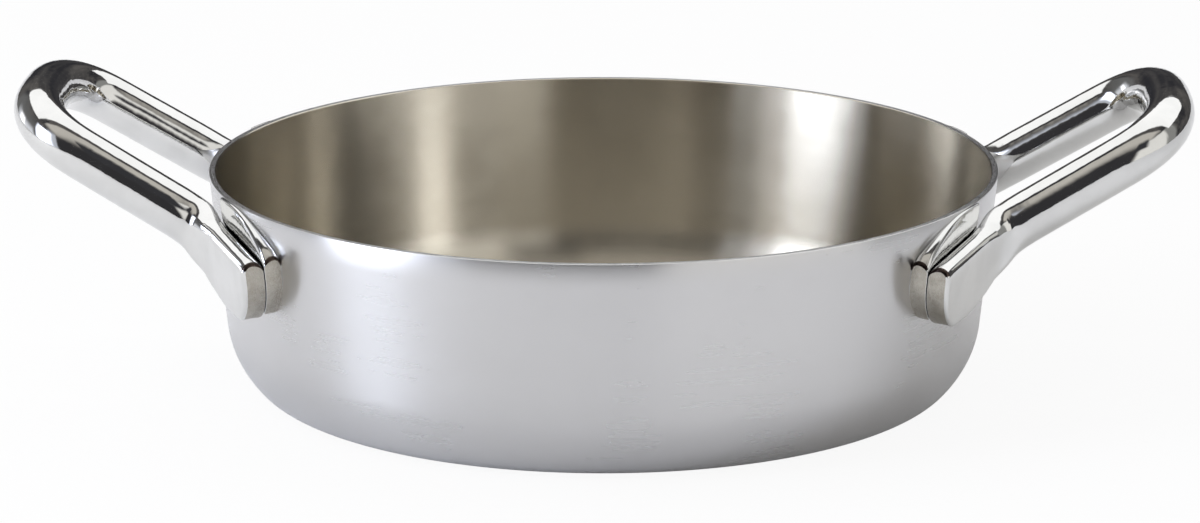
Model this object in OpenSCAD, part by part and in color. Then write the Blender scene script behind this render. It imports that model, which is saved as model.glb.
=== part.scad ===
// Low two-handled saucepan in clad stainless steel.
// Three bonded plies make the pan. Each handle is one bent bar, and its two
// flattened feet are spot-welded to brackets that follow the leaning wall.
// +Z is up, the origin is the centre of the base, and the handles lie along X.

/* [Pan] */
// Outer diameter at the rim
rim_d = 240; // [200:1:320]
// Height of the rim above the base
pan_h = 67; // [62:1:120]
// Lean of the wall from upright, in degrees
wall_lean = 5.85; // [1:0.05:9]
// Outer radius of the heel, next to the base
heel_r = 10; // [6:0.5:14]
// Outer radius of the flank, between the heel and the straight wall
flank_r = 29; // [20:0.5:32]
// Turn of the heel, in degrees up from the base
heel_turn = 47; // [35:1:60]
// Bevel on both edges of the rim
rim_bevel = 0.3; // [0.1:0.05:0.4]

/* [Plies] */
// Thickness of the outer ply, magnetic steel
outer_ply_t = 0.5; // [0.4:0.1:1]
// Thickness of the core ply, aluminium
core_ply_t = 1.3; // [0.8:0.1:3]
// Thickness of the inner ply, stainless steel
inner_ply_t = 0.4; // [0.4:0.1:1]

/* [Handle] */
// Diameter of the handle bar
bar_d = 15.3; // [13:0.1:17]
// Rise of the handle above the horizontal, in degrees
handle_rise = 30.7; // [20:0.1:40]
// Distance between the centrelines of the two legs, where they meet the feet
leg_spacing = 76.3; // [70:0.1:86]
// How much closer the legs are at the far end of their straight run
leg_draw_in = 5; // [0:0.1:8]
// Straight run of a leg, from the middle of its foot's bend
leg_run = 40; // [32:1:60]
// Depth of the rounded end of the loop, along the handle
loop_end_depth = 20.5; // [16:0.1:30]
// Squareness of the loop's end: 2 is an ellipse
loop_end_power = 2.65; // [2:0.05:3]
// Depth below the rim of the leg's centreline, where it meets the foot
leg_root_drop = 11; // [8:0.1:16]

/* [Foot] */
// Angle between the handle's axis and the way the foot's flat face looks
foot_facing = 24.6; // [22:0.1:28]
// Thickness of the flattened foot
foot_t = 6.6; // [5:0.1:8]
// Depth of the foot's top edge below the rim, at the free end
foot_top_drop = 11; // [10:0.1:14]
// Depth of the foot's bottom edge below the rim, at the free end
foot_bottom_drop = 30.2; // [28:0.1:32]
// Depth of the foot's top edge below the rim, next to the bend
bend_top_drop = 6.2; // [5:0.1:8]
// Depth of the foot's bottom edge below the rim, next to the bend
bend_bottom_drop = 23; // [21:0.1:25]
// Radius on the foot's two top edges, as a share of half its thickness
foot_top_edge_share = 0.96; // [0.6:0.02:0.98]
// Radius on the foot's two bottom edges
foot_low_edge_r = 1.2; // [0.6:0.1:2]
// Length of the bend on the foot's side of its corner
bend_foot_len = 9.5; // [8:0.5:11]
// Length of the bend on the leg's side of its corner
bend_leg_len = 11; // [9:0.5:13]

/* [Bracket] */
// How far the bracket's flat face stands out past the rim, where it is nearest
seat_lead = 1.2; // [0.6:0.1:2]
// Where the bracket starts, ahead of the middle of its flat face
bracket_start = -6; // [-8:0.5:-4]
// Where bracket and foot end, ahead of the middle of the flat face
free_end = 30.5; // [28:0.5:34]
// Depth of the bracket's top below the rim
bracket_top_drop = 0.2; // [0.2:0.1:1]
// Where the bracket's top starts to curve down
brow_start = 1; // [0:0.5:4]
// Radius of the curve on the bracket's top
brow_r = 48; // [42:1:60]
// Radius on the bracket's top outer edge
bracket_edge_r = 3; // [2:0.1:4]
// Radius on the bracket's bottom corner, behind the bend
bracket_corner_r = 12; // [8:0.5:14]
// Radius of the free end, ground flush across bracket and foot
free_end_r = 15; // [14:0.5:18]
// Depth of the middle of the rounded free end below the rim
free_end_drop = 17; // [15:0.5:19]
// Gap between bracket and foot, which the welds bridge
seam_gap = 0.3; // [0.2:0.05:0.6]

/* [Weld spots] */
// Diameter of one weld spot
weld_d = 5; // [3:0.1:6]
// Distance of the first weld spot from the free end
weld_inset = 9; // [8:0.5:12]
// Distance between weld spots
weld_pitch = 9; // [7:0.1:10]

/* [Hidden] */
$fn = 360;
// Half turn and full turn, in degrees
half_turn = 180;
full_turn = 360;
// How far cutters run past what they cut, as a share of the bar's diameter
overrun_share = 0.065;
overrun = bar_d * overrun_share;

// The wall's outer face, and the arcs that carry it down to the base
rim_r = rim_d / 2;
function wall_r(z) = rim_r - (pan_h - z) * tan(wall_lean);
wall_line = rim_r * cos(wall_lean) - pan_h * sin(wall_lean);
heel_end = 90 - heel_turn;
flank_z = heel_r + (flank_r - heel_r) * sin(heel_end);
flank_x = (wall_line - flank_r + flank_z * sin(wall_lean)) / cos(wall_lean);
heel_x = flank_x + (flank_r - heel_r) * cos(heel_end);
pan_t = outer_ply_t + core_ply_t + inner_ply_t;

// Seat: the flat face between bracket and foot. It leans with the wall, and its
// own directions are the way it looks, the way to the free end, and up
seat_r = rim_r + seat_lead;
seat_out = [
    cos(foot_facing) * cos(wall_lean), -sin(foot_facing) * cos(wall_lean), -sin(wall_lean)
];
seat_along = [-sin(foot_facing), -cos(foot_facing), 0];
seat_up = [
    cos(foot_facing) * sin(wall_lean), -sin(foot_facing) * sin(wall_lean), cos(wall_lean)
];
foot_mid_out = seam_gap + foot_t / 2;
foot_top_edge_r = foot_t / 2 * foot_top_edge_share;
function on_foot(s, drop) =
    [cos(foot_facing), -sin(foot_facing), 0] * seat_r + [0, 0, pan_h]
    + seat_out * foot_mid_out + seat_along * s - seat_up * drop;

// Handle: the legs run along X and rise away from the pan. The corner is where
// a leg's centreline meets the middle of its foot
leg_half = leg_spacing / 2;
corner_r = seat_r + foot_mid_out / cos(wall_lean) - leg_root_drop * tan(wall_lean);
corner_x = (corner_r - leg_half * sin(foot_facing)) / cos(foot_facing);
corner_s = leg_half * cos(foot_facing) - corner_x * sin(foot_facing);
corner = [corner_x, -leg_half, pan_h - leg_root_drop];
bar_r = bar_d / 2;
draw_in_rate = leg_draw_in / 2 / leg_run;
handle_along = [cos(handle_rise), draw_in_rate, sin(handle_rise)];
handle_up = [-sin(handle_rise), 0, cos(handle_rise)];
// Length of foot, before the bend, over which the bar flattens
flattening_share = 0.5;
flattening_len = bar_d * flattening_share;
// Length of leg over which the rings lean back from square to the leg, until
// they keep this share of the handle's rise
leaning_len_share = 0.26;
leaning_len = bar_d * leaning_len_share;
leaning_share = 0.5;
// Reach of the bend's two control points, as a share of the bend's length
bend_reach_share = 0.8;
// Rings along each stretch of the handle, and sides of each ring
foot_rings = 4;
flattening_rings = 6;
bend_rings = 18;
leaning_rings = 5;
leg_rings = 4;
loop_rings = 16;
ring_sides = 28;

bracket_bottom_drop = foot_bottom_drop - foot_low_edge_r;
// Depth of the block that the bracket is cut from
block_t = foot_t * 2;

function lerp(a, b, u) = a + (b - a) * u;
function ease(u) = u * u * (3 - 2 * u);
function unit(v) = v / norm(v);

// Pan

// Sector of a circle between two angles
module sector(r, from, to) {
    reach = r / cos((to - from) / 2);
    intersection() {
        circle(r = r);
        polygon([
            [0, 0],
            [reach * cos(from), reach * sin(from)],
            [reach * cos(to), reach * sin(to)]
        ]);
    }
}

// Half section of all that lies inside the pan's outer face moved inward
module pan_section(inward, above = 0) {
    top = pan_h + above;
    shift = inward / cos(wall_lean);
    polygon([
        [0, inward],
        [heel_x, inward],
        [heel_x + (heel_r - inward) * cos(heel_end), heel_r - (heel_r - inward) * sin(heel_end)],
        [flank_x + (flank_r - inward) * cos(wall_lean), flank_z - (flank_r - inward) * sin(wall_lean)],
        [wall_r(top) - shift, top],
        [0, top]
    ]);
    translate([heel_x, heel_r])
        sector(heel_r - inward, -90, -heel_end);
    translate([flank_x, flank_z])
        sector(flank_r - inward, -heel_end, -wall_lean);
}

// One ply, between two distances inward from the outer face
module ply(outside, inside) {
    rotate_extrude()
        difference() {
            pan_section(outside);
            pan_section(inside, overrun);
        }
}

// Cutter that bevels an edge of the rim, out to one side
module rim_bevel_cut(r, side) {
    rotate_extrude()
        polygon([
            [r - side * rim_bevel, pan_h],
            [r - side * rim_bevel, pan_h + overrun],
            [r + side * overrun, pan_h + overrun],
            [r + side * overrun, pan_h - rim_bevel],
            [r, pan_h - rim_bevel]
        ]);
}

module outer_ply() {
    color("gainsboro")
        difference() {
            ply(0, outer_ply_t);
            rim_bevel_cut(rim_r, 1);
        }
}

module core_ply() {
    color("lightgray")
        ply(outer_ply_t, outer_ply_t + core_ply_t);
}

module inner_ply() {
    color("darkgray")
        difference() {
            ply(outer_ply_t + core_ply_t, pan_t);
            rim_bevel_cut(rim_r - pan_t / cos(wall_lean), -1);
        }
}

// Handle

// A station holds the ring's centre, the way ahead, the way up, half its
// thickness, half its height and how round it is: 0 is the foot, 1 is the bar
bend_start = corner_s + bend_foot_len;
function share_of_foot(s) = (s - bend_start) / (free_end + overrun - bend_start);
function foot_top(s) = lerp(bend_top_drop, foot_top_drop, share_of_foot(s));
function foot_bottom(s) =
    lerp(bend_bottom_drop, foot_bottom_drop, 1 - pow(1 - share_of_foot(s), 4));
function foot_centre(s) = on_foot(s, (foot_top(s) + foot_bottom(s)) / 2);
function foot_half_h(s) = (foot_bottom(s) - foot_top(s)) / 2;
function leg_centre(run) = corner + handle_along * run;

// The bar changes from flat foot to round leg over this length
change_len = flattening_len + bend_foot_len + bend_leg_len;
function station(centre, ahead, up, half_h, change) =
    [centre, unit(ahead), up, lerp(foot_t / 2, bar_r, change), half_h, ease(change)];
function foot_station(s) =
    station(
        foot_centre(s), -seat_along, seat_up, foot_half_h(s),
        ease(max(bend_start + flattening_len - s, 0) / change_len)
    );

// A ring that leans back from square to the leg is taller than the bar
function leg_half_h(lean) = bar_r / cos(lean);
function leaning_station(share) =
    let (rise = handle_rise * lerp(leaning_share, 1, share))
    station(
        leg_centre(bend_leg_len + leaning_len * share),
        [cos(rise), handle_along[1], sin(rise)], [-sin(rise), 0, cos(rise)],
        leg_half_h(handle_rise - rise), 1
    );

// The bend follows one smooth curve through four points
bend_p = foot_centre(bend_start);
bend_q = bend_p * 2 - foot_centre(bend_start + bend_foot_len * bend_reach_share);
bend_s = leg_centre(bend_leg_len);
bend_r = leg_centre(bend_leg_len * (1 - bend_reach_share));
function bend_centre(u) =
    bend_p * pow(1 - u, 3)
    + bend_q * 3 * u * pow(1 - u, 2)
    + bend_r * 3 * u * u * (1 - u)
    + bend_s * pow(u, 3);
function bend_ahead(u) =
    let (
        way = (bend_q - bend_p) * pow(1 - u, 2)
            + (bend_r - bend_q) * 2 * u * (1 - u)
            + (bend_s - bend_r) * u * u,
        rise = handle_rise * leaning_share * ease(u)
    )
    unit([way[0], way[1], 0]) * cos(rise) + [0, 0, sin(rise)];
function bend_station(u) =
    station(
        bend_centre(u), bend_ahead(u), lerp(seat_up, handle_up, ease(u)),
        lerp(foot_half_h(bend_start), leg_half_h(handle_rise * (1 - leaning_share)), ease(u)),
        ease((flattening_len + (bend_foot_len + bend_leg_len) * u) / change_len)
    );

// Centre of the loop's end, from the end of the leg round to the middle
function loop_centre(angle) =
    let (
        run = leg_run + loop_end_depth * pow(cos(angle), 2 / loop_end_power),
        spread = leg_half - draw_in_rate * run
    )
    [
        corner[0] + handle_along[0] * run,
        -spread * pow(sin(angle), 2 / loop_end_power),
        corner[2] + handle_along[2] * run
    ];
function bar_station(before, centre, after) =
    station(centre, after - before, handle_up, bar_r, 1);

leg_start = bend_leg_len + leaning_len;
leg_points = [for (i = [1:leg_rings]) leg_centre(lerp(leg_start, leg_run, i / leg_rings))];
loop_points = [for (i = [1:loop_rings]) loop_centre(90 * (1 - i / loop_rings))];
half_points = concat(leg_points, loop_points);
function mirrored(p) = [p[0], -p[1], p[2]];
bar_points = concat(
    [leg_centre(leg_start)],
    half_points,
    [mirrored(half_points[len(half_points) - 2])]
);
front_half = concat(
    [for (i = [0:foot_rings - 1])
        foot_station(lerp(free_end + overrun, bend_start + flattening_len, i / foot_rings))],
    [for (i = [0:flattening_rings - 1])
        foot_station(bend_start + flattening_len * (1 - i / flattening_rings))],
    [for (i = [0:bend_rings - 1]) bend_station(i / bend_rings)],
    [for (i = [0:leaning_rings]) leaning_station(i / leaning_rings)],
    [for (i = [1:len(bar_points) - 2])
        bar_station(bar_points[i - 1], bar_points[i], bar_points[i + 1])]
);
// The rear half mirrors the front half, and runs the other way
function rear_station(s) =
    [mirrored(s[0]), -mirrored(s[1]), mirrored(s[2]), s[3], s[4], s[5]];
stations = concat(
    front_half,
    [for (i = [len(front_half) - 2:-1:0]) rear_station(front_half[i])]
);
last = len(stations) - 1;

function station_ring(i) =
    let (
        s = stations[i],
        up = unit(s[2] - s[1] * (s[2] * s[1])),
        out = cross(s[1], up)
    )
    [for (j = [0:ring_sides - 1])
        let (
            a = (j + 0.5) * full_turn / ring_sides,
            edge_r = sin(a) > 0 ? foot_top_edge_r : foot_low_edge_r,
            r_t = lerp(edge_r, s[3], s[5]),
            r_h = lerp(edge_r, s[4], s[5]),
            w = sign(cos(a)) * (s[3] - r_t) + r_t * cos(a),
            v = sign(sin(a)) * (s[4] - r_h) + r_h * sin(a)
        )
        s[0] + out * w + up * v];

// Right handle before its free ends are ground, as one skin through all rings
module handle_bar() {
    points = [for (i = [0:last]) each station_ring(i)];
    sides = [for (i = [0:last - 1], j = [0:ring_sides - 1])
        let (
            k = (j + 1) % ring_sides,
            p = i * ring_sides + j,
            q = i * ring_sides + k,
            s = p + ring_sides,
            t = q + ring_sides
        )
        each [[p, q, t], [p, t, s]]];
    first_cap = [for (j = [ring_sides - 1:-1:0]) j];
    last_cap = [for (j = [0:ring_sides - 1]) last * ring_sides + j];
    polyhedron(points = points, faces = concat(sides, [first_cap, last_cap]));
}

// Seat frame of the right handle's front foot: X looks out from the flat face,
// Y runs to the rear, and Z is up the wall from the level of the rim
module on_seat() {
    rotate([0, 0, -foot_facing])
        translate([seat_r, 0, pan_h])
            rotate([0, wall_lean, 0])
                children();
}

// All that lies past the rounded free end of bracket and foot
module past_free_end() {
    on_seat()
        translate([-block_t, -free_end + free_end_r, -free_end_drop])
            rotate([90, 0, 90])
                linear_extrude(height = block_t + seam_gap + foot_t + overrun)
                    difference() {
                        translate([-free_end_r - foot_t, -free_end_r])
                            square([free_end_r + foot_t, free_end_r + free_end_drop]);
                        circle(r = free_end_r);
                        translate([-free_end_r, 0])
                            square([free_end_r, free_end_drop]);
                    }
}

// All that lies behind the foot's flat back, which runs on along the bend
module behind_seam() {
    on_seat()
        translate([-block_t, -free_end - bar_d, -foot_bottom_drop - bar_d])
            cube([block_t + seam_gap, free_end + bar_d - corner_s + bar_d, foot_bottom_drop + bar_d * 2]);
}

module ground_handle() {
    difference() {
        handle_bar();
        for (rear = [0, 1])
            mirror([0, rear, 0]) {
                past_free_end();
                behind_seam();
            }
    }
}

// Bracket

// Block with a rounded top edge, in the seat frame. Its top is level at the
// rear and curves down to the free end
module bracket_block() {
    centre_drop = bracket_top_drop + brow_r;
    translate([-block_t, -brow_start, -centre_drop])
        rotate([0, 90, 0])
            rotate([0, 0, half_turn])
                rotate_extrude(angle = half_turn / 2)
                    bracket_profile();
    translate([-block_t, -bracket_start, -centre_drop])
        rotate([90, 0, 0])
            linear_extrude(height = brow_start - bracket_start)
                rotate([0, 0, half_turn / 2])
                    mirror([0, 1, 0])
                        bracket_profile();
}

// Section of the block, from the centre of the top's curve outward
module bracket_profile() {
    square([brow_r - bracket_edge_r, block_t]);
    square([brow_r, block_t - bracket_edge_r]);
    translate([brow_r - bracket_edge_r, block_t - bracket_edge_r])
        circle(r = bracket_edge_r);
}

// Outline of the bracket's flat face, from its bottom corner at the free end
module bracket_side() {
    length = free_end - bracket_start;
    square([length - bracket_corner_r, bracket_bottom_drop]);
    translate([0, bracket_corner_r])
        square([length, bracket_bottom_drop - bracket_corner_r]);
    translate([length - bracket_corner_r, bracket_corner_r])
        circle(r = bracket_corner_r);
}

// Front bracket of the right handle, cut to the leaning wall
module bracket() {
    difference() {
        on_seat()
            intersection() {
                bracket_block();
                translate([-block_t, -free_end, -bracket_bottom_drop])
                    rotate([90, 0, 90])
                        linear_extrude(height = block_t)
                            bracket_side();
            }
        cylinder(r1 = wall_r(0), r2 = wall_r(pan_h + block_t), h = pan_h + block_t);
        past_free_end();
    }
}

// Weld spots

// Weld spots of the right handle's front foot, in the seam's gap
module weld_spots() {
    on_seat()
        for (i = [0:1])
            translate([0, -free_end + weld_inset + i * weld_pitch, -free_end_drop])
                rotate([0, 90, 0])
                    cylinder(d = weld_d, h = seam_gap);
}

// Places a piece of the right handle's front foot at one of the four feet
module at_foot(left, rear) {
    mirror([left ? 1 : 0, 0, 0])
        mirror([0, rear ? 1 : 0, 0])
            children();
}

module right_handle() {
    color("silver")
        ground_handle();
}

module left_handle() {
    color("silver")
        mirror([1, 0, 0])
            ground_handle();
}

module foot_bracket(left, rear) {
    color("darkkhaki")
        at_foot(left, rear)
            bracket();
}

module foot_weld_spots(left, rear) {
    color("dimgray")
        at_foot(left, rear)
            weld_spots();
}

inner_ply();
core_ply();
outer_ply();
left_handle();
right_handle();
foot_bracket(true, false);  // left_front_bracket
foot_bracket(true, true);  // left_rear_bracket
foot_bracket(false, false);  // right_front_bracket
foot_bracket(false, true);  // right_rear_bracket
foot_weld_spots(true, false);  // left_front_weld_spots
foot_weld_spots(true, true);  // left_rear_weld_spots
foot_weld_spots(false, false);  // right_front_weld_spots
foot_weld_spots(false, true);  // right_rear_weld_spots
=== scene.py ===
import functools
import math

import bmesh
import bpy
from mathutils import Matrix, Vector


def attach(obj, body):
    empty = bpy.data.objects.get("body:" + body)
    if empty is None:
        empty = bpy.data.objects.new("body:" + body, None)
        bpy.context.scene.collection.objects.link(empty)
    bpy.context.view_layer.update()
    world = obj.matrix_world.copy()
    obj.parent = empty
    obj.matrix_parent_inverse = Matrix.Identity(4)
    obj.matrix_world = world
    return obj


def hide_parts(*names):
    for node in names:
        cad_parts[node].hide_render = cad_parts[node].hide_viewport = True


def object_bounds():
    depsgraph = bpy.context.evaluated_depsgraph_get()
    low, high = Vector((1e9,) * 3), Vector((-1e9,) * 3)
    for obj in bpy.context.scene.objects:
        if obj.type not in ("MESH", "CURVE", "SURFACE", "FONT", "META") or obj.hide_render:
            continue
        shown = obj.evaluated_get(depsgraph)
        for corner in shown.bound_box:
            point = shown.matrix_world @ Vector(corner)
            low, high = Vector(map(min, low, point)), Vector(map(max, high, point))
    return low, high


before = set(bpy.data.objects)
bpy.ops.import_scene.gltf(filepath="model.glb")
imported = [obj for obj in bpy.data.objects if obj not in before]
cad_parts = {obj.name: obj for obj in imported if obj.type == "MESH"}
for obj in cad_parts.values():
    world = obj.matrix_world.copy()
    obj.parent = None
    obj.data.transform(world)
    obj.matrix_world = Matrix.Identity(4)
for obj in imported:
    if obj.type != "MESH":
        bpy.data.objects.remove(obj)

CAD_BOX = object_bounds()
MM = 0.001

# Sizes of the part in millimetres, as in its CAD source

RIM_R, PAN_H, WALL_LEAN = 120.0, 67.0, math.radians(5.85)
HEEL_R, FLANK_R, HEEL_TURN = 10.0, 29.0, 47.0
RIM_BEVEL = 0.3
OUTER_T, CORE_T, INNER_T = 0.5, 1.3, 0.4
PAN_T = OUTER_T + CORE_T + INNER_T
HEEL_END = math.radians(90 - HEEL_TURN)
WALL_LINE = RIM_R * math.cos(WALL_LEAN) - PAN_H * math.sin(WALL_LEAN)
FLANK_Z = HEEL_R + (FLANK_R - HEEL_R) * math.sin(HEEL_END)
FLANK_X = (WALL_LINE - FLANK_R + FLANK_Z * math.sin(WALL_LEAN)) / math.cos(WALL_LEAN)
HEEL_X = FLANK_X + (FLANK_R - HEEL_R) * math.cos(HEEL_END)

BAR_D, FOOT_T = 15.3, 6.6
HANDLE_RISE, LEG_SPACING, LEG_DRAW_IN, LEG_RUN = math.radians(30.7), 76.3, 5.0, 40.0
LOOP_END_DEPTH, LOOP_END_POWER, LEG_ROOT_DROP = 20.5, 2.65, 11.0
FACING = math.radians(24.6)
FOOT_TOP, FOOT_BOTTOM, BEND_TOP, BEND_BOTTOM = 11.0, 30.2, 6.2, 23.0
FOOT_BOTTOM_POWER = 4
FOOT_TOP_EDGE_R, FOOT_LOW_EDGE_R, BEND_FOOT_LEN, BEND_LEG_LEN = FOOT_T / 2 * 0.96, 1.2, 9.5, 11.0
SEAT_LEAD, FREE_END, FREE_END_R, FREE_END_DROP, SEAM_GAP = 1.2, 30.5, 15.0, 17.0, 0.3
FLATTENING_LEN, LEANING_LEN, LEANING_SHARE, BEND_REACH = BAR_D * 0.5, BAR_D * 0.26, 0.5, 0.8
OVERRUN = BAR_D * 0.065

BRACKET_START, BRACKET_TOP, BRACKET_BOTTOM = -6.0, 0.2, 29.0
BROW_START, BROW_R, BRACKET_CORNER_R = 1.0, 48.0, 12.0


# Node graphs

class Graph:
    """Short ways to add nodes to a material or world."""

    def __init__(self, tree):
        self.tree = tree
        tree.nodes.clear()

    def node(self, kind, **settings):
        n = self.tree.nodes.new(kind)
        for key, value in settings.items():
            setattr(n, key, value)
        return n

    def feed(self, socket, value):
        if isinstance(value, bpy.types.NodeSocket):
            self.tree.links.new(value, socket)
        else:
            socket.default_value = value

    def fed(self, kind, values, **settings):
        """Node with its first inputs fed, in their order."""
        n = self.node(kind, **settings)
        for socket, value in zip(n.inputs, values):
            self.feed(socket, value)
        return n

    def math(self, op, *values):
        return self.fed("ShaderNodeMath", values, operation=op).outputs[0]

    def vec(self, op, *values):
        n = self.fed("ShaderNodeVectorMath", values, operation=op)
        return n.outputs["Value" if op == "LENGTH" else "Vector"]

    def split(self, vector):
        return self.fed("ShaderNodeSeparateXYZ", (vector,)).outputs

    def join(self, x, y, z):
        return self.fed("ShaderNodeCombineXYZ", (x, y, z)).outputs[0]

    def span(self, value, a, b, lo=0.0, hi=1.0):
        """Value's way from a to b, eased, as a number from lo to hi."""
        n = self.fed("ShaderNodeMapRange", (value, a, b, lo, hi), interpolation_type="SMOOTHSTEP")
        return n.outputs[0]

    def noise(self, vector, scale, detail=2.0, rough=0.5):
        n = self.node("ShaderNodeTexNoise")
        self.feed(n.inputs["Vector"], vector)
        n.inputs["Scale"].default_value = scale
        n.inputs["Detail"].default_value = detail
        n.inputs["Roughness"].default_value = rough
        return n.outputs["Fac"]

    def mix(self, factor, *colours):
        """Mix of two colours, each a socket or three numbers."""
        n = self.node("ShaderNodeMix", data_type="RGBA")
        self.feed(n.inputs[0], factor)
        for socket, colour in zip(n.inputs[6:8], colours):
            self.feed(socket, colour if isinstance(colour, bpy.types.NodeSocket) else (*colour, 1.0))
        return n.outputs[2]

    def bump(self, height, strength, distance):
        n = self.node("ShaderNodeBump")
        n.inputs["Strength"].default_value = strength
        n.inputs["Distance"].default_value = distance
        self.feed(n.inputs["Height"], height)
        return n.outputs[0]


# Materials. Their noises are laid out in millimetres

def metal(name, tint, rough, anisotropy=0.0):
    """A steel-like material: its graph, its shader, and the object-space place in millimetres."""
    m = bpy.data.materials.new(name)
    m.use_nodes = True
    g = Graph(m.node_tree)
    out = g.node("ShaderNodeOutputMaterial")
    s = g.node("ShaderNodeBsdfPrincipled")
    g.feed(out.inputs[0], s.outputs[0])
    s.inputs["Base Color"].default_value = (*tint, 1.0)
    s.inputs["Metallic"].default_value = 1.0
    s.inputs["Roughness"].default_value = rough
    if anisotropy:
        s.inputs["Anisotropic"].default_value = anisotropy
        s.inputs["Anisotropic Rotation"].default_value = 0.25
        g.feed(s.inputs["Tangent"], g.node("ShaderNodeTangent", direction_type="RADIAL", axis="Z").outputs[0])
    place = g.vec("MULTIPLY", g.node("ShaderNodeTexCoord").outputs["Object"], (1 / MM, 1 / MM, 1 / MM))
    return m, g, s, place


def around(g, place, turns, along):
    """Place on the turned surface: round the axis, and along the meridian."""
    x, y, z = g.split(place)
    flat = g.join(x, y, 0.0)
    meridian = g.math("ADD", g.vec("LENGTH", flat), z)
    u, v, _ = g.split(g.vec("NORMALIZE", flat))
    round_x, round_y = g.math("MULTIPLY", u, turns), g.math("MULTIPLY", v, turns)
    return g.join(round_x, round_y, g.math("MULTIPLY", meridian, along))


# Heights in millimetres over which the outer steel is darkened towards the base: painted shade standing in
# for the shadowed floor it mirrors near the pan.
BASE_SHADE_FULL, BASE_SHADE_START = 2.0, 30.0
SCRATCH_ROUGH = 0.015


def turned_steel(name, tint, shade, rough, anisotropy, grain, haze, base_shade=1.0):
    """Steel finished on a lathe, with faint lines round the axis, soft clouds and a few scratches.

    Towards the base its colour is multiplied down by a painted shade, to the given share at the lowest.
    """
    m, g, s, place = metal(name, tint, rough, anisotropy)
    fine = g.noise(around(g, place, turns=1.6, along=0.55), 1.0)
    cloud = g.noise(around(g, place, turns=3.2, along=0.03), 1.0, detail=3.0, rough=0.55)
    scratch = g.span(g.noise(around(g, place, turns=2.2, along=3.0), 1.0, detail=1.0), 0.7, 0.8)
    # Painted shade: the colour grows darker towards the base.
    base = g.span(g.split(place)[2], BASE_SHADE_FULL, BASE_SHADE_START, base_shade, 1.0)
    steel = g.mix(g.span(cloud, 0.38, 0.62), shade, tint)
    g.feed(s.inputs["Base Color"], g.vec("MULTIPLY", steel, g.join(base, base, base)))
    lines = g.span(fine, 0.3, 0.7, rough - grain, rough + grain)
    marks = g.math("ADD", g.span(cloud, 0.3, 0.7, -haze, haze), g.math("MULTIPLY", scratch, SCRATCH_ROUGH))
    g.feed(s.inputs["Roughness"], g.math("ADD", lines, marks))
    g.feed(s.inputs["Normal"], g.bump(fine, 0.02, 0.01 * MM))
    return m


def polished_steel(name, tint, shade, rough):
    """Mirror-polished steel, with a faint unevenness from the polishing wheel and hairline scratches."""
    m, g, s, place = metal(name, tint, rough)
    swirl = g.noise(place, 0.09, detail=3.0)
    hair = g.noise(g.vec("MULTIPLY", place, (0.25, 0.9, 0.9)), 2.2, detail=4.0, rough=0.7)
    wave = g.noise(place, 0.16)
    g.feed(s.inputs["Base Color"], g.mix(g.span(swirl, 0.35, 0.65), shade, tint))
    scratched, worn = g.span(hair, 0.45, 0.72, rough, rough + 0.06), g.span(swirl, 0.4, 0.7, 0.0, 0.03)
    g.feed(s.inputs["Roughness"], g.math("ADD", scratched, worn))
    g.feed(s.inputs["Normal"], g.bump(wave, 0.12, 0.9 * MM))
    return m


def ground_steel(name, tint, shade, rough):
    """End faces ground on a belt: short upright lines and a satin sheen."""
    m, g, s, place = metal(name, tint, rough)
    lines = g.noise(g.vec("MULTIPLY", place, (3.2, 3.2, 0.35)), 2.0, detail=3.0, rough=0.6)
    blot = g.noise(place, 0.35, detail=3.0, rough=0.6)
    g.feed(s.inputs["Base Color"], g.mix(g.span(blot, 0.35, 0.7), tint, shade))
    g.feed(s.inputs["Roughness"], g.span(lines, 0.35, 0.65, rough - 0.06, rough + 0.08))
    g.feed(s.inputs["Normal"], g.bump(lines, 0.2, 0.06 * MM))
    return m


def weld_metal(name, tint, shade, rough):
    """Dark, lumpy metal of a weld."""
    m, g, s, place = metal(name, tint, rough)
    lumps = g.noise(place, 0.9, detail=4.0, rough=0.65)
    g.feed(s.inputs["Base Color"], g.mix(g.span(lumps, 0.4, 0.65), shade, tint))
    g.feed(s.inputs["Normal"], g.bump(lumps, 0.5, 0.4 * MM))
    return m


def cut_aluminium(name, tint, shade, rough, anisotropy):
    """Aluminium cut on a lathe, with lines round the axis."""
    m, g, s, place = metal(name, tint, rough, anisotropy)
    lines = g.noise(around(g, place, turns=30.0, along=12.0), 1.0)
    g.feed(s.inputs["Base Color"], g.mix(g.span(lines, 0.3, 0.7), shade, tint))
    g.feed(s.inputs["Roughness"], g.span(lines, 0.3, 0.7, rough - 0.06, rough + 0.06))
    return m


INNER_STEEL = turned_steel(
    "inner_steel", tint=(0.67, 0.63, 0.545), shade=(0.61, 0.57, 0.49),
    rough=0.245, anisotropy=1.0, grain=0.006, haze=0.012,
)
OUTER_STEEL = turned_steel(
    "outer_steel", tint=(0.685, 0.682, 0.685), shade=(0.67, 0.667, 0.67),
    rough=0.28, anisotropy=0.85, grain=0.004, haze=0.006, base_shade=0.88,
)
CORE_METAL = cut_aluminium(
    "core_aluminium", tint=(0.86, 0.86, 0.86), shade=(0.66, 0.66, 0.67), rough=0.3, anisotropy=0.6
)
HANDLE_STEEL = polished_steel("handle_steel", tint=(0.76, 0.76, 0.75), shade=(0.71, 0.71, 0.70), rough=0.045)
BRACKET_STEEL = polished_steel("bracket_steel", tint=(0.74, 0.74, 0.73), shade=(0.69, 0.69, 0.68), rough=0.07)
GROUND_STEEL = ground_steel("ground_steel", tint=(0.47, 0.445, 0.395), shade=(0.41, 0.385, 0.335), rough=0.26)
# Near-black polished steel: painted shade on the rounded top edges of the ground free ends.
PAINTED_SHADE_STEEL = polished_steel(
    "painted_shade_edge_steel", tint=(0.085, 0.065, 0.055), shade=(0.03, 0.022, 0.02), rough=0.16
)
WELD = weld_metal("weld_metal", tint=(0.2, 0.17, 0.14), shade=(0.06, 0.05, 0.045), rough=0.6)


# Meshes

def lerp(a, b, u):
    return a + (b - a) * u


def ease(u):
    return u * u * (3 - 2 * u)


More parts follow.
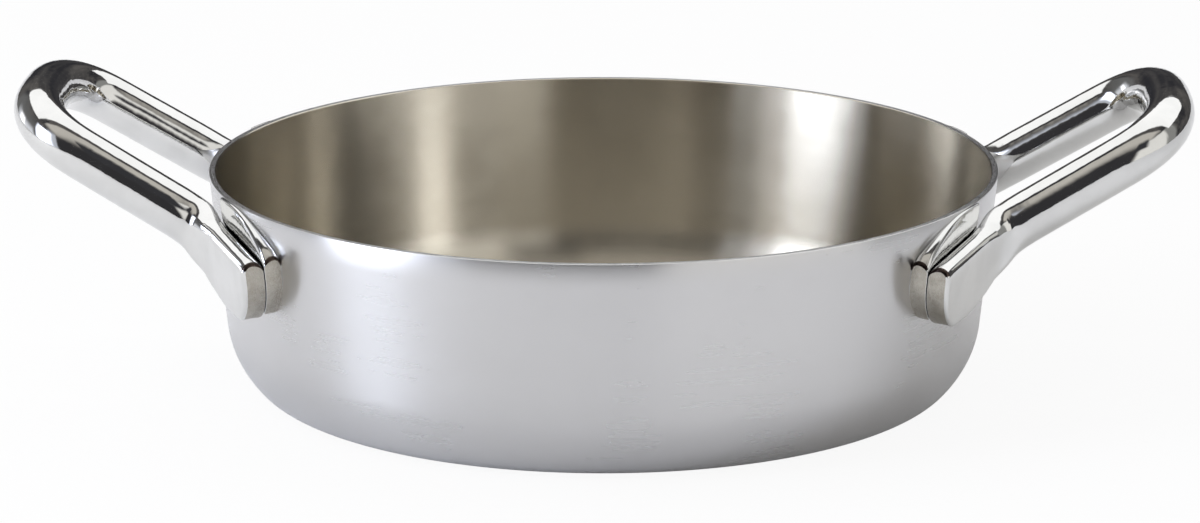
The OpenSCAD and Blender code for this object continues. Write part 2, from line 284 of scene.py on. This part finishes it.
def evenly(points, steps):
    """Places that cut a line through points into even steps, both ends included."""
    dist = [0.0]
    for a, b in zip(points, points[1:]):
        dist.append(dist[-1] + math.dist(a, b))
    places, k = [], 0
    for i in range(steps + 1):
        d = dist[-1] * i / steps
        while k < len(dist) - 2 and dist[k + 1] < d:
            k += 1
        u = (d - dist[k]) / (dist[k + 1] - dist[k])
        places.append([lerp(p, q, u) for p, q in zip(points[k], points[k + 1])])
    return places


def moved_left(ring, by):
    """Closed ring of places with each moved to the left of the ring's way, or right where by is negative."""
    moved = []
    for i, p in enumerate(ring):
        a, b = ring[i - 1], ring[(i + 1) % len(ring)]
        along = (b[0] - a[0], b[1] - a[1])
        share = by / math.hypot(*along)
        moved.append((p[0] - along[1] * share, p[1] + along[0] * share))
    return moved


LATHE_SHARP, BAR_SHARP = math.radians(32), math.radians(40)


def finish_mesh(bm, name, materials, sharp=LATHE_SHARP):
    bmesh.ops.recalc_face_normals(bm, faces=bm.faces)
    mesh = bpy.data.meshes.new(name)
    bm.to_mesh(mesh)
    bm.free()
    for m in materials:
        mesh.materials.append(m)
    mesh.shade_smooth()
    mesh.set_sharp_from_angle(angle=sharp)
    o = bpy.data.objects.new(name, mesh)
    bpy.context.scene.collection.objects.link(o)
    return o


# Pan, one turned shell for each ply

HEEL_STEPS, FLANK_STEPS, WALL_STEPS, BASE_STEPS = 14, 16, 6, 6
LONGEST_STEP = 8.0
SEGMENTS = 240
BEVEL_CORNER_SHARE = 0.38


def wall_r(z):
    return RIM_R - (PAN_H - z) * math.tan(WALL_LEAN)


def arc(cx, cz, r, a, b, n):
    return [(cx + r * math.cos(t), cz + r * math.sin(t)) for t in (a + (b - a) * i / n for i in range(n + 1))]


def profile(inward, top):
    """Half section of the pan's outer face moved inward, from the flat base's edge up to a height."""
    pts = arc(HEEL_X, HEEL_R, HEEL_R - inward, -math.pi / 2, -HEEL_END, HEEL_STEPS)
    pts += arc(FLANK_X, FLANK_Z, FLANK_R - inward, -HEEL_END, -WALL_LEAN, FLANK_STEPS)[1:]
    last_z = pts[-1][1]
    for i in range(1, WALL_STEPS + 1):
        z = lerp(last_z, top, i / WALL_STEPS)
        pts.append((wall_r(z) - inward / math.cos(WALL_LEAN), z))
    return pts


def denser(pts):
    """Line through points with no step longer than the longest one allowed."""
    out = [pts[0]]
    for a, b in zip(pts, pts[1:]):
        n = max(1, math.ceil(math.dist(a, b) / LONGEST_STEP))
        out += [(lerp(a[0], b[0], i / n), lerp(a[1], b[1], i / n)) for i in range(1, n + 1)]
    return out


def shell_section(outside, inside, outer_cut, inner_cut):
    """Closed section of one ply. A cut is the bevel at that edge of the rim."""
    outer = denser(profile(outside, PAN_H - outer_cut))
    inner = denser(profile(inside, PAN_H - inner_cut))
    rim = []
    if outer_cut:
        corner, part = wall_r(PAN_H) - outside / math.cos(WALL_LEAN), outer_cut * BEVEL_CORNER_SHARE
        rim += [(corner - part, PAN_H - part), (corner - outer_cut, PAN_H)]
    if inner_cut:
        corner, part = wall_r(PAN_H) - inside / math.cos(WALL_LEAN), inner_cut * BEVEL_CORNER_SHARE
        rim += [(corner + inner_cut, PAN_H), (corner + part, PAN_H - part)]
    base_out = [(outer[0][0] * i / BASE_STEPS, outside) for i in range(BASE_STEPS)]
    base_in = [(inner[0][0] * i / BASE_STEPS, inside) for i in range(BASE_STEPS)]
    return base_out + outer + rim + inner[::-1] + base_in[::-1]


def lathe(name, section, material):
    """Turns a closed half section, which starts and ends on the axis, into a solid shell.

    The many segments' true circle would stand out of the CAD model's box, so its radius is squeezed to fit.
    """
    squeeze = (CAD_BOX[1][1] - CAD_BOX[0][1]) / 2 / (RIM_R * MM)
    turns = [(i + 0.5) * 2 * math.pi / SEGMENTS for i in range(SEGMENTS)]
    bm = bmesh.new()
    rings = []
    for r, z in section:
        if r:
            reach = r * MM * squeeze
            rings.append([bm.verts.new((reach * math.cos(t), reach * math.sin(t), z * MM)) for t in turns])
        else:
            rings.append([bm.verts.new((0, 0, z * MM))])
    for a, b in zip(rings, rings[1:]):
        for i in range(SEGMENTS):
            j = (i + 1) % SEGMENTS
            if len(a) == 1:
                bm.faces.new((a[0], b[j], b[i]))
            elif len(b) == 1:
                bm.faces.new((a[i], a[j], b[0]))
            else:
                bm.faces.new((a[i], a[j], b[j], b[i]))
    return finish_mesh(bm, name, [material])


plies = [
    ("outer_ply_shell", "outer_ply", 0.0, OUTER_T, RIM_BEVEL, 0.0, OUTER_STEEL, "outer_steel"),
    ("core_ply_shell", "core_ply", OUTER_T, OUTER_T + CORE_T, 0.0, 0.0, CORE_METAL, "core_aluminium"),
    ("inner_ply_shell", "inner_ply", OUTER_T + CORE_T, PAN_T, 0.0, RIM_BEVEL, INNER_STEEL, "inner_steel"),
]
for name, node, outside, inside, outer_cut, inner_cut, material, slot in plies:
    piece = lathe(name, shell_section(outside, inside, outer_cut, inner_cut), material)
    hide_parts(node)
    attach(piece, "root")


# The seat, the plane between a foot and its bracket. A place on it has a distance outward, a place
# along it towards the free end, and a drop below the rim

SEAT_R = RIM_R + SEAT_LEAD
COS_FACING, SIN_FACING = math.cos(FACING), math.sin(FACING)
COS_LEAN, SIN_LEAN = math.cos(WALL_LEAN), math.sin(WALL_LEAN)
SEAT_OUT = Vector((COS_FACING * COS_LEAN, -SIN_FACING * COS_LEAN, -SIN_LEAN))
SEAT_ALONG = Vector((-SIN_FACING, -COS_FACING, 0.0))
SEAT_UP = Vector((COS_FACING * SIN_LEAN, -SIN_FACING * SIN_LEAN, COS_LEAN))
SEAT_MID = Vector((COS_FACING * SEAT_R, -SIN_FACING * SEAT_R, PAN_H))


def on_seat(out, s, drop):
    return SEAT_MID + SEAT_OUT * out + SEAT_ALONG * s - SEAT_UP * drop


def to_seat(p):
    q = p - SEAT_MID
    return q.dot(SEAT_OUT), q.dot(SEAT_ALONG), -q.dot(SEAT_UP)


# Stations along the bar: centre, way, up, half thickness, half height, and how round the section is

FOOT_MID_OUT = SEAM_GAP + FOOT_T / 2
LEG_HALF = LEG_SPACING / 2
CORNER_R = SEAT_R + FOOT_MID_OUT / COS_LEAN - LEG_ROOT_DROP * math.tan(WALL_LEAN)
CORNER_X = (CORNER_R - LEG_HALF * SIN_FACING) / COS_FACING
CORNER_S = LEG_HALF * COS_FACING - CORNER_X * SIN_FACING
CORNER = Vector((CORNER_X, -LEG_HALF, PAN_H - LEG_ROOT_DROP))
BAR_R = BAR_D / 2
DRAW = LEG_DRAW_IN / 2 / LEG_RUN
LEG_WAY = Vector((math.cos(HANDLE_RISE), DRAW, math.sin(HANDLE_RISE)))
HANDLE_UP = Vector((-math.sin(HANDLE_RISE), 0.0, math.cos(HANDLE_RISE)))
BEND_START = CORNER_S + BEND_FOOT_LEN
CHANGE_LEN = FLATTENING_LEN + BEND_FOOT_LEN + BEND_LEG_LEN
LEG_STEPS, LOOP_STEPS, LOOP_RINGS = 20, 400, 72


def share_of_foot(s):
    return (s - BEND_START) / (FREE_END + OVERRUN - BEND_START)


def foot_top(s):
    return lerp(BEND_TOP, FOOT_TOP, share_of_foot(s))


def foot_bottom(s):
    return lerp(BEND_BOTTOM, FOOT_BOTTOM, 1 - (1 - share_of_foot(s)) ** FOOT_BOTTOM_POWER)


def foot_centre(s):
    return on_seat(FOOT_MID_OUT, s, (foot_top(s) + foot_bottom(s)) / 2)


def foot_half_h(s):
    return (foot_bottom(s) - foot_top(s)) / 2


def leg_centre(run):
    return CORNER + LEG_WAY * run


def leg_half_h(lean):
    return BAR_R / math.cos(lean)


def station(centre, ahead, up, half_h, change):
    return centre, ahead.normalized(), up, lerp(FOOT_T / 2, BAR_R, change), half_h, ease(change)


def foot_station(s):
    change = ease(max(BEND_START + FLATTENING_LEN - s, 0) / CHANGE_LEN)
    return station(foot_centre(s), -SEAT_ALONG, SEAT_UP, foot_half_h(s), change)


# The bend follows one smooth curve, pulled by four points

BEND_P = foot_centre(BEND_START)
BEND_Q = BEND_P * 2 - foot_centre(BEND_START + BEND_FOOT_LEN * BEND_REACH)
BEND_S = leg_centre(BEND_LEG_LEN)
BEND_R = leg_centre(BEND_LEG_LEN * (1 - BEND_REACH))


def bend_station(u):
    v = 1 - u
    centre = BEND_P * v ** 3 + BEND_Q * 3 * u * v * v + BEND_R * 3 * u * u * v + BEND_S * u ** 3
    way = (BEND_Q - BEND_P) * v * v + (BEND_R - BEND_Q) * 2 * u * v + (BEND_S - BEND_R) * u * u
    rise = HANDLE_RISE * LEANING_SHARE * ease(u)
    ahead = Vector((way.x, way.y, 0)).normalized() * math.cos(rise) + Vector((0, 0, math.sin(rise)))
    return station(
        centre, ahead, SEAT_UP.lerp(HANDLE_UP, ease(u)),
        lerp(foot_half_h(BEND_START), leg_half_h(HANDLE_RISE * (1 - LEANING_SHARE)), ease(u)),
        ease((FLATTENING_LEN + (BEND_FOOT_LEN + BEND_LEG_LEN) * u) / CHANGE_LEN),
    )


def leaning_station(share):
    rise = HANDLE_RISE * lerp(LEANING_SHARE, 1, share)
    return station(
        leg_centre(BEND_LEG_LEN + LEANING_LEN * share),
        Vector((math.cos(rise), DRAW, math.sin(rise))),
        Vector((-math.sin(rise), 0, math.cos(rise))),
        leg_half_h(HANDLE_RISE - rise), 1,
    )


def loop_centre(angle):
    run = LEG_RUN + LOOP_END_DEPTH * max(math.cos(angle), 0) ** (2 / LOOP_END_POWER)
    spread = LEG_HALF - DRAW * run
    return Vector((
        CORNER.x + LEG_WAY.x * run,
        -spread * max(math.sin(angle), 0) ** (2 / LOOP_END_POWER),
        CORNER.z + LEG_WAY.z * run,
    ))


def bar_stations():
    """Stations of the round bar, evenly spaced from the leg's start to the middle of the loop."""
    start = BEND_LEG_LEN + LEANING_LEN
    line = [leg_centre(lerp(start, LEG_RUN, i / LEG_STEPS)) for i in range(LEG_STEPS)]
    line += [loop_centre(math.pi / 2 * (1 - i / LOOP_STEPS)) for i in range(LOOP_STEPS + 1)]
    centres = [Vector(p) for p in evenly(line, LOOP_RINGS)]
    centres.append(Vector((centres[-2].x, -centres[-2].y, centres[-2].z)))
    return [
        station(here, after - before, HANDLE_UP, BAR_R, 1)
        for before, here, after in zip(centres, centres[1:], centres[2:])
    ]


# Handles, one skin through rings along the bar

SIDES, CORNER_STEPS = 80, 24
FOOT_RINGS, FLATTENING_RINGS, BEND_RINGS, LEANING_RINGS = 16, 16, 36, 8
SAME_PLACE = 1e-7


def outline(half_t, half_h, round_share):
    """Ring of a station, evenly spaced, from the middle of its bottom up the outer side and back."""
    pts = [(0.0, -half_h)]
    for quarter_turn, (side, edge) in enumerate(((1, -1), (1, 1), (-1, 1), (-1, -1))):
        edge_r = FOOT_TOP_EDGE_R if edge > 0 else FOOT_LOW_EDGE_R
        r_t, r_h = lerp(edge_r, half_t, round_share), lerp(edge_r, half_h, round_share)
        for i in range(CORNER_STEPS + 1):
            a = (quarter_turn - 1 + i / CORNER_STEPS) * math.pi / 2
            pts.append(((half_t - r_t) * side + r_t * math.cos(a), (half_h - r_h) * edge + r_h * math.sin(a)))
    pts.append((0.0, -half_h))
    apart = [p for i, p in enumerate(pts) if i == 0 or math.dist(p, pts[i - 1]) > SAME_PLACE]
    return evenly(apart, SIDES)[:-1]


def station_ring(place, inset=0.0):
    centre, ahead, up, half_t, half_h, round_share = place
    up = (up - ahead * up.dot(ahead)).normalized()
    out = ahead.cross(up)
    ring = moved_left(outline(half_t, half_h, round_share), inset)
    return [centre + out * w + up * v for w, v in ring]


@functools.cache
def foot_ring(s):
    """Ring of the foot, kept so that each place along it is worked out once."""
    return station_ring(foot_station(s))


# The ground free end of foot and bracket, whose edge is softened in a few strips

END_SOFT, END_STEPS = 1.1, 4
END_TURNS = [i * math.pi / 2 / END_STEPS for i in range(END_STEPS + 1)]
END_ROUND = [(END_SOFT * (1 - math.cos(a)), END_SOFT * (1 - math.sin(a))) for a in END_TURNS]
SOFT_AT_SEAM, SOFT_TOP_DEPTH, SOFT_CLEARANCE = 0.12, 3.5, 3.0
# Depth below an end's top within which its rounded edge takes the painted shade.
PAINTED_SHADE_DEPTH = 2.4


def free_end_s(drop):
    """Where the ground end of bracket and foot lies, at a depth below the rim."""
    d = min(max(drop - FREE_END_DROP, 0.0), FREE_END_R)
    return FREE_END - FREE_END_R + math.sqrt(FREE_END_R ** 2 - d * d)


def end_softness(clear, below_top):
    """Share of softening of the end's edge: full at the top and on a free side, little at a seam."""
    near_top = 1 - min(max(below_top / SOFT_TOP_DEPTH, 0.0), 1.0)
    free = min(clear, SOFT_CLEARANCE) / SOFT_CLEARANCE
    return lerp(SOFT_AT_SEAM, 1.0, max(ease(near_top), ease(free)))


def painted_shade_sides(ring, top):
    """Sides of an end's ring that lie near its top, whose rounded edge takes painted shade."""
    return {k for k, p in enumerate(ring) if to_seat(p)[2] - top < PAINTED_SHADE_DEPTH}


def foot_end_rings():
    """Rings of the foot that follow its rounded free end, and the softened edge round its end face."""
    rings = []
    for back, inset in END_ROUND:
        ring = []
        for p, q in zip(foot_ring(FREE_END), station_ring(foot_station(FREE_END), inset)):
            out, _, drop = to_seat(p)
            soft = end_softness(out - SEAM_GAP, drop - foot_top(FREE_END))
            out, _, drop = to_seat(p.lerp(q, soft))
            ring.append(on_seat(out, free_end_s(drop) - back * soft, drop))
        rings.append(ring)
    end_places = [to_seat(p)[1] for p in rings[-1]]
    inner_places = [to_seat(p)[1] for p in foot_ring(BEND_START + FLATTENING_LEN)]
    for i in range(1, FOOT_RINGS):
        ring = []
        for k, (a, b) in enumerate(zip(end_places, inner_places)):
            s = lerp(a, b, i / FOOT_RINGS)
            out, _, drop = to_seat(foot_ring(round(s, 2))[k])
            ring.append(on_seat(out, s, drop))
        rings.append(ring)
    return rings


def ground_flat(ring):
    """Ring with what lies behind the seam pressed flat, with its edges exactly on the seam's plane."""
    places = [to_seat(p) for p in ring]
    behind = [out < SEAM_GAP and s > CORNER_S - BAR_D for out, s, _ in places]
    result = []
    for k, (out, s, drop) in enumerate(places):
        if not behind[k]:
            result.append(ring[k])
            continue
        for other in (k - 1, (k + 1) % SIDES):
            if not behind[other]:
                a = places[other]
                u = (a[0] - SEAM_GAP) / (a[0] - out)
                s, drop = lerp(a[1], s, u), lerp(a[2], drop, u)
                break
        result.append(on_seat(SEAM_GAP, s, drop))
    return result


def half_handle_rings():
    """Rings of half a handle, from the free end of its foot to the middle of the loop."""
    rings = foot_end_rings()
    for i in range(FLATTENING_RINGS):
        rings.append(station_ring(foot_station(BEND_START + FLATTENING_LEN * (1 - i / FLATTENING_RINGS))))
    rings += [station_ring(bend_station(i / BEND_RINGS)) for i in range(BEND_RINGS)]
    rings += [station_ring(leaning_station(i / LEANING_RINGS)) for i in range(LEANING_RINGS + 1)]
    rings += [station_ring(s) for s in bar_stations()]
    return [ground_flat(ring) for ring in rings]


# Material slots: plain steel, ground end faces, and painted shade on the ends' top edges.
PLAIN, GROUND, PAINTED_SHADE = 0, 1, 2


def skin(name, rings, steel, shaded_sides, two_ends):
    """Solid through rings of equally many points, with both ends closed by ground faces.

    The sides near the top of the first few strips, or also of the last ones, take near-black steel as painted
    shade.
    """
    bm = bmesh.new()
    rings = [[bm.verts.new(p * MM) for p in ring] for ring in rings]
    n = len(rings[0])
    for i, (a, b) in enumerate(zip(rings, rings[1:])):
        at_end = i < END_STEPS or (two_ends and i >= len(rings) - 1 - END_STEPS)
        for k in range(n):
            j = (k + 1) % n
            bm.faces.new((a[k], a[j], b[j], b[k])).material_index = PAINTED_SHADE if at_end and k in shaded_sides else PLAIN
    for ring in (rings[0], rings[-1]):
        for k in range(1, n // 2):
            a, b, c, d = ring[k], ring[k + 1], ring[n - k - 1], ring[n - k]
            bm.faces.new((a, b, c, d) if b is not c else (a, b, d)).material_index = GROUND
        bm.faces.new((ring[-1], ring[0], ring[1])).material_index = GROUND
    return finish_mesh(bm, name, [steel, GROUND_STEEL, PAINTED_SHADE_STEEL], BAR_SHARP)


def handle(name, node, side):
    half = half_handle_rings()
    front = [[Vector((p.x * side, p.y, p.z)) for p in ring] for ring in half]
    rear = [[Vector((p.x * side, -p.y, p.z)) for p in ring] for ring in half[:-1]]
    o = skin(name, front + rear[::-1], HANDLE_STEEL, painted_shade_sides(half[0], foot_top(FREE_END)), two_ends=True)
    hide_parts(node)
    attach(o, "root")


handle("left_handle_bar", "left_handle", -1)
handle("right_handle_bar", "right_handle", 1)


# Brackets, a rounded wedge between each foot and the wall

SEAM_EDGE_R, WALL_EDGE_R, LOW_EDGE_R = 3.0, 1.9, 0.7
SEAM_EDGE_SHARE, WALL_EDGE_SHARE = 0.58, 0.36
FACE_STEPS, TOP_EDGE_STEPS, LOW_EDGE_STEPS = 14, 8, 4
EVEN_FROM, EVEN_RINGS, EVEN_STEP, CURVED_RINGS = 12.0, 18, 1.0, 14
WALL_GUESS, WALL_TRIES = -2.0, 5


def wall_out(s, drop):
    """Distance of the pan's wall from the seat plane, negative inward."""
    out = WALL_GUESS
    for _ in range(WALL_TRIES):
        p = on_seat(out, s, drop)
        out -= (math.hypot(p.x, p.y) - wall_r(p.z)) / COS_LEAN
    return out


def bracket_top(s):
    run = max(s - BROW_START, 0.0)
    return BRACKET_TOP + BROW_R - math.sqrt(BROW_R ** 2 - run * run)


def bracket_bottom(s):
    run = min(max(BRACKET_START + BRACKET_CORNER_R - s, 0.0), BRACKET_CORNER_R)
    return BRACKET_BOTTOM - BRACKET_CORNER_R + math.sqrt(BRACKET_CORNER_R ** 2 - run * run)


def quarter(out, drop, r, start, steps):
    """Quarter round about a place in a section, from a start angle on, in places (out, drop)."""
    turns = [start + math.pi / 2 * i / steps for i in range(steps + 1)]
    return [(out + r * math.cos(t), drop - r * math.sin(t)) for t in turns]


@functools.cache
def bracket_section(s, inset=0.0):
    """Ring of places (out, drop), from the middle of the bottom up the seam's side and down the wall's."""
    top, bottom = bracket_top(s), bracket_bottom(s)
    thick = -wall_out(s, top)
    seam_r, wall_side_r = min(SEAM_EDGE_R, thick * SEAM_EDGE_SHARE), min(WALL_EDGE_R, thick * WALL_EDGE_SHARE)
    low, seam_high, wall_high = bottom - LOW_EDGE_R, top + seam_r, top + wall_side_r
    wall_drops = [lerp(wall_high, low, i / FACE_STEPS) for i in range(1, FACE_STEPS)]
    ring = [(wall_out(s, bottom) / 2, bottom)]
    ring += quarter(-LOW_EDGE_R, low, LOW_EDGE_R, -math.pi / 2, LOW_EDGE_STEPS)
    ring += [(0.0, lerp(low, seam_high, i / FACE_STEPS)) for i in range(1, FACE_STEPS)]
    ring += quarter(-seam_r, seam_high, seam_r, 0.0, TOP_EDGE_STEPS)
    ring += [(-(seam_r + thick - wall_side_r) / 2, top)]
    ring += quarter(wall_out(s, wall_high) + wall_side_r, wall_high, wall_side_r, math.pi / 2, TOP_EDGE_STEPS)
    ring += [(wall_out(s, drop), drop) for drop in wall_drops]
    ring += quarter(wall_out(s, low) + LOW_EDGE_R, low, LOW_EDGE_R, math.pi, LOW_EDGE_STEPS)
    return moved_left(ring, -inset)


def bracket_rings():
    """Rings of a bracket, from its ground free end to its start near the leg."""
    rings = []
    for back, inset in END_ROUND:
        ring = []
        for p, q in zip(bracket_section(FREE_END), bracket_section(FREE_END, inset)):
            soft = end_softness(0.0, p[1] - bracket_top(FREE_END))
            out, drop = lerp(p[0], q[0], soft), lerp(p[1], q[1], soft)
            ring.append((out, free_end_s(drop) - back * soft, drop))
        rings.append(ring)
    end_places = [s for _, s, _ in rings[-1]]
    for i in range(1, CURVED_RINGS):
        ring = []
        for k, s_end in enumerate(end_places):
            s = lerp(s_end, EVEN_FROM, i / CURVED_RINGS)
            out, drop = bracket_section(round(s, 1))[k]
            ring.append((out, s, drop))
        rings.append(ring)
    for i in range(EVEN_RINGS):
        s = EVEN_FROM - EVEN_STEP * i
        rings.append([(out, s, drop) for out, drop in bracket_section(s)])
    for back, inset in END_ROUND[::-1]:
        s = BRACKET_START + back / 2
        rings.append([(out, s, drop) for out, drop in bracket_section(s, inset / 2)])
    return [[on_seat(*p) for p in ring] for ring in rings]


def brackets():
    rings = bracket_rings()
    shaded_sides = painted_shade_sides(rings[0], bracket_top(FREE_END))
    for left in (True, False):
        for rear in (False, True):
            name = f"{'left' if left else 'right'}_{'rear' if rear else 'front'}_bracket"
            turned = [[Vector((-p.x if left else p.x, -p.y if rear else p.y, p.z)) for p in r] for r in rings]
            o = skin(name + "_wedge", turned, BRACKET_STEEL, shaded_sides, two_ends=False)
            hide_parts(name)
            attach(o, "root")


brackets()


# Weld spots, which keep their CAD shape

for name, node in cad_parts.items():
    if name.endswith("weld_spots"):
        node.data.materials.clear()
        node.data.materials.append(WELD)


# Floor, light and camera

FLOOR_Z = -0.02 * MM
FLOOR_RADII, FLOOR_SEGMENTS = (0.15, 0.3, 0.6, 1.2, 2.4, 5.0), 96
PAPER = (0.86, 0.86, 0.87)
SEEN_WHITE, MIRRORED_WHITE = 0.92, 0.07


def floor_paper():
    """White paper, which keeps a faint shadow where the camera looks at it."""
    m = bpy.data.materials.new("floor_paper")
    m.use_nodes = True
    g = Graph(m.node_tree)
    out = g.node("ShaderNodeOutputMaterial")
    paper = g.fed("ShaderNodeBsdfDiffuse", ((*PAPER, 1.0),))
    white = g.fed("ShaderNodeEmission", ((1.0, 1.0, 1.0, 1.0), 1.0))
    path = g.node("ShaderNodeLightPath").outputs
    looked_at = g.math("MAXIMUM", path["Is Camera Ray"], path["Is Transmission Ray"])
    seen = g.math("MULTIPLY", looked_at, SEEN_WHITE)
    mirrored = g.math("MULTIPLY", path["Is Glossy Ray"], MIRRORED_WHITE)
    both = g.fed("ShaderNodeMixShader", (g.math("ADD", seen, mirrored), paper.outputs[0], white.outputs[0]))
    g.feed(out.inputs[0], both.outputs[0])
    return m


def floor():
    """Round sheet just below the pan's base, so that no two faces lie in one plane."""
    bm = bmesh.new()
    turns = [i * 2 * math.pi / FLOOR_SEGMENTS for i in range(FLOOR_SEGMENTS)]
    rings = [[bm.verts.new((0, 0, FLOOR_Z))]]
    for r in FLOOR_RADII:
        rings.append([bm.verts.new((r * math.cos(t), r * math.sin(t), FLOOR_Z)) for t in turns])
    for a, b in zip(rings, rings[1:]):
        for i in range(FLOOR_SEGMENTS):
            j = (i + 1) % FLOOR_SEGMENTS
            bm.faces.new((a[0], b[i], b[j]) if len(a) == 1 else (a[i], b[i], b[j], a[j]))
    finish_mesh(bm, "floor", [floor_paper()])


floor()

ROOM_DARK, ROOM_LIGHT = (0.03, 0.03, 0.035), (0.12, 0.113, 0.108)
LOWEST, LOWEST_SOFT = -90, 1

# Screens that stand on the floor round the pan, the later ones in front. Each has its colour, the turns
# at which it starts and ends with their softness, and the rise of its top with its softness, in degrees.
# A turn of 0 is towards the camera and 90 is to the right.
SCREENS = [
    ((0.04, 0.039, 0.042), (-37, 15, 3, 2), (35, 9)),
    ((0.30, 0.30, 0.29), (60, 104, 5, 4), (44, 3)),
    ((0.94, 0.925, 0.89), (19, 82, 5, 4), (44, 3)),
]
LEFT_SCREENS = [
    ((0.16, 0.16, 0.16), (-150, -88, 5, 4), (32, 16)),
    ((0.84, 0.86, 0.92), (-136, -92, 5, 4), (10, 8)),
    ((2.2, 2.2, 2.3), (-128, -115, 3, 3), (10, 6)),
    ((0.58, 0.61, 0.68), (-62, -39, 4, 2), (40, 6)),
    ((1.5, 1.58, 1.82), (-86, -49, 2, 4), (36, 3)),
    ((6.6, 7.1, 8.3), (-79, -59, 3, 4), (33, 4)),
]

# A dark flag high up, in front of the first screens, with both ends of its turn and of its rise
FLAG = ((0.045, 0.045, 0.05), (11, 38, 3, 5), (27, 52, 4, 6))

# Flat boxes overhead, whose sides are shares of their height, to the right and away from the camera.
# Lower than the least height, the sky's height counts as that height, so that no share grows too large.
FRONT_BOX = ((0.62, 0.59, 0.54), (-0.75, 0.75, 0.2, 0.2), (-0.95, -0.2, 0.45, 0.05))
TOP_BOX = ((1.25, 1.25, 1.25), (-0.95, 1.35, 0.04, 0.04), (0.03, 1.95, 0.03, 0.06))
LEAST_HEIGHT = 0.05


def studio():
    """A photographer's studio: a dark room with soft boxes overhead, in front, and on both sides."""
    w = bpy.data.worlds.new("studio")
    bpy.context.scene.world = w
    w.use_nodes = True
    g = Graph(w.node_tree)
    out = g.node("ShaderNodeOutputWorld")
    way = g.node("ShaderNodeTexCoord").outputs["Generated"]
    x, y, z = g.split(way)
    degrees = math.degrees(1)
    turn = g.math("MULTIPLY", g.math("ARCTAN2", x, g.math("MULTIPLY", y, -1.0)), degrees)
    rise = g.math("MULTIPLY", g.math("ARCSINE", z), degrees)
    height = g.math("MAXIMUM", z, LEAST_HEIGHT)
    across = g.math("DIVIDE", x, height)
    deep = g.math("DIVIDE", y, height)

    def window(value, lo, hi, soft_lo, soft_hi):
        up = g.span(value, lo - soft_lo, lo + soft_lo)
        down = g.span(value, hi - soft_hi, hi + soft_hi, 1.0, 0.0)
        return g.math("MULTIPLY", up, down)

    def box(below, colour, one, other):
        """Box over what is below, whose sides are set along two measures."""
        return g.mix(g.math("MULTIPLY", window(*one), window(*other)), below, colour)

    def flat(below, colour, sides, ends):
        return box(below, colour, (across, *sides), (deep, *ends))

    def standing(below, screens):
        for colour, sides, (top, soft) in screens:
            below = box(below, colour, (turn, *sides), (rise, LOWEST, top, LOWEST_SOFT, soft))
        return below

    room = g.noise(way, 2.3, detail=3.0, rough=0.6)
    c = g.mix(g.span(room, 0.35, 0.65), ROOM_DARK, ROOM_LIGHT)
    c = flat(c, *FRONT_BOX)
    c = standing(c, SCREENS)
    flag_colour, flag_sides, flag_ends = FLAG
    c = box(c, flag_colour, (turn, *flag_sides), (rise, *flag_ends))
    c = standing(c, LEFT_SCREENS)
    c = flat(c, *TOP_BOX)
    g.feed(out.inputs[0], g.fed("ShaderNodeBackground", (c, 1.0)).outputs[0])


studio()


def fill_light(place, size, watts):
    """Square lamp that lights the floor from the left and isn't mirrored in the steel."""
    light = bpy.data.lights.new("fill_light", "AREA")
    light.shape = "RECTANGLE"
    light.size = light.size_y = size
    light.energy = watts
    o = bpy.data.objects.new("fill_light", light)
    bpy.context.scene.collection.objects.link(o)
    o.location = place
    o.rotation_euler = (-place).to_track_quat("-Z", "Y").to_euler()
    o.visible_glossy = False


fill_light(Vector((-0.9, -0.3, 0.9)), size=0.9, watts=6.5)

CAMERA_PLACE, CAMERA_TARGET = Vector((0.0455, -1.4487, 0.4212)), Vector((0, 0, 0.035))
SENSOR_WIDTH = 36.0
PHOTO_WIDTH_PX, FOCAL_PX, SHIFT_X_PX, SHIFT_Y_PX = 1200, 4896.53, -3.64, 3.59
FARTHEST_SEEN = 50


def camera():
    """The photograph's camera: 1500 mm away, 14.9 degrees above the pan, and 1.8 degrees to its right."""
    data = bpy.data.cameras.new("camera")
    data.sensor_width = SENSOR_WIDTH
    data.lens = FOCAL_PX / PHOTO_WIDTH_PX * SENSOR_WIDTH
    data.shift_x = SHIFT_X_PX / PHOTO_WIDTH_PX
    data.shift_y = SHIFT_Y_PX / PHOTO_WIDTH_PX
    data.clip_end = FARTHEST_SEEN
    o = bpy.data.objects.new("camera", data)
    bpy.context.scene.collection.objects.link(o)
    o.location = CAMERA_PLACE
    o.rotation_euler = (CAMERA_TARGET - CAMERA_PLACE).to_track_quat("-Z", "Y").to_euler()
    bpy.context.scene.camera = o


camera()

bpy.context.scene.view_settings.view_transform = "Standard"
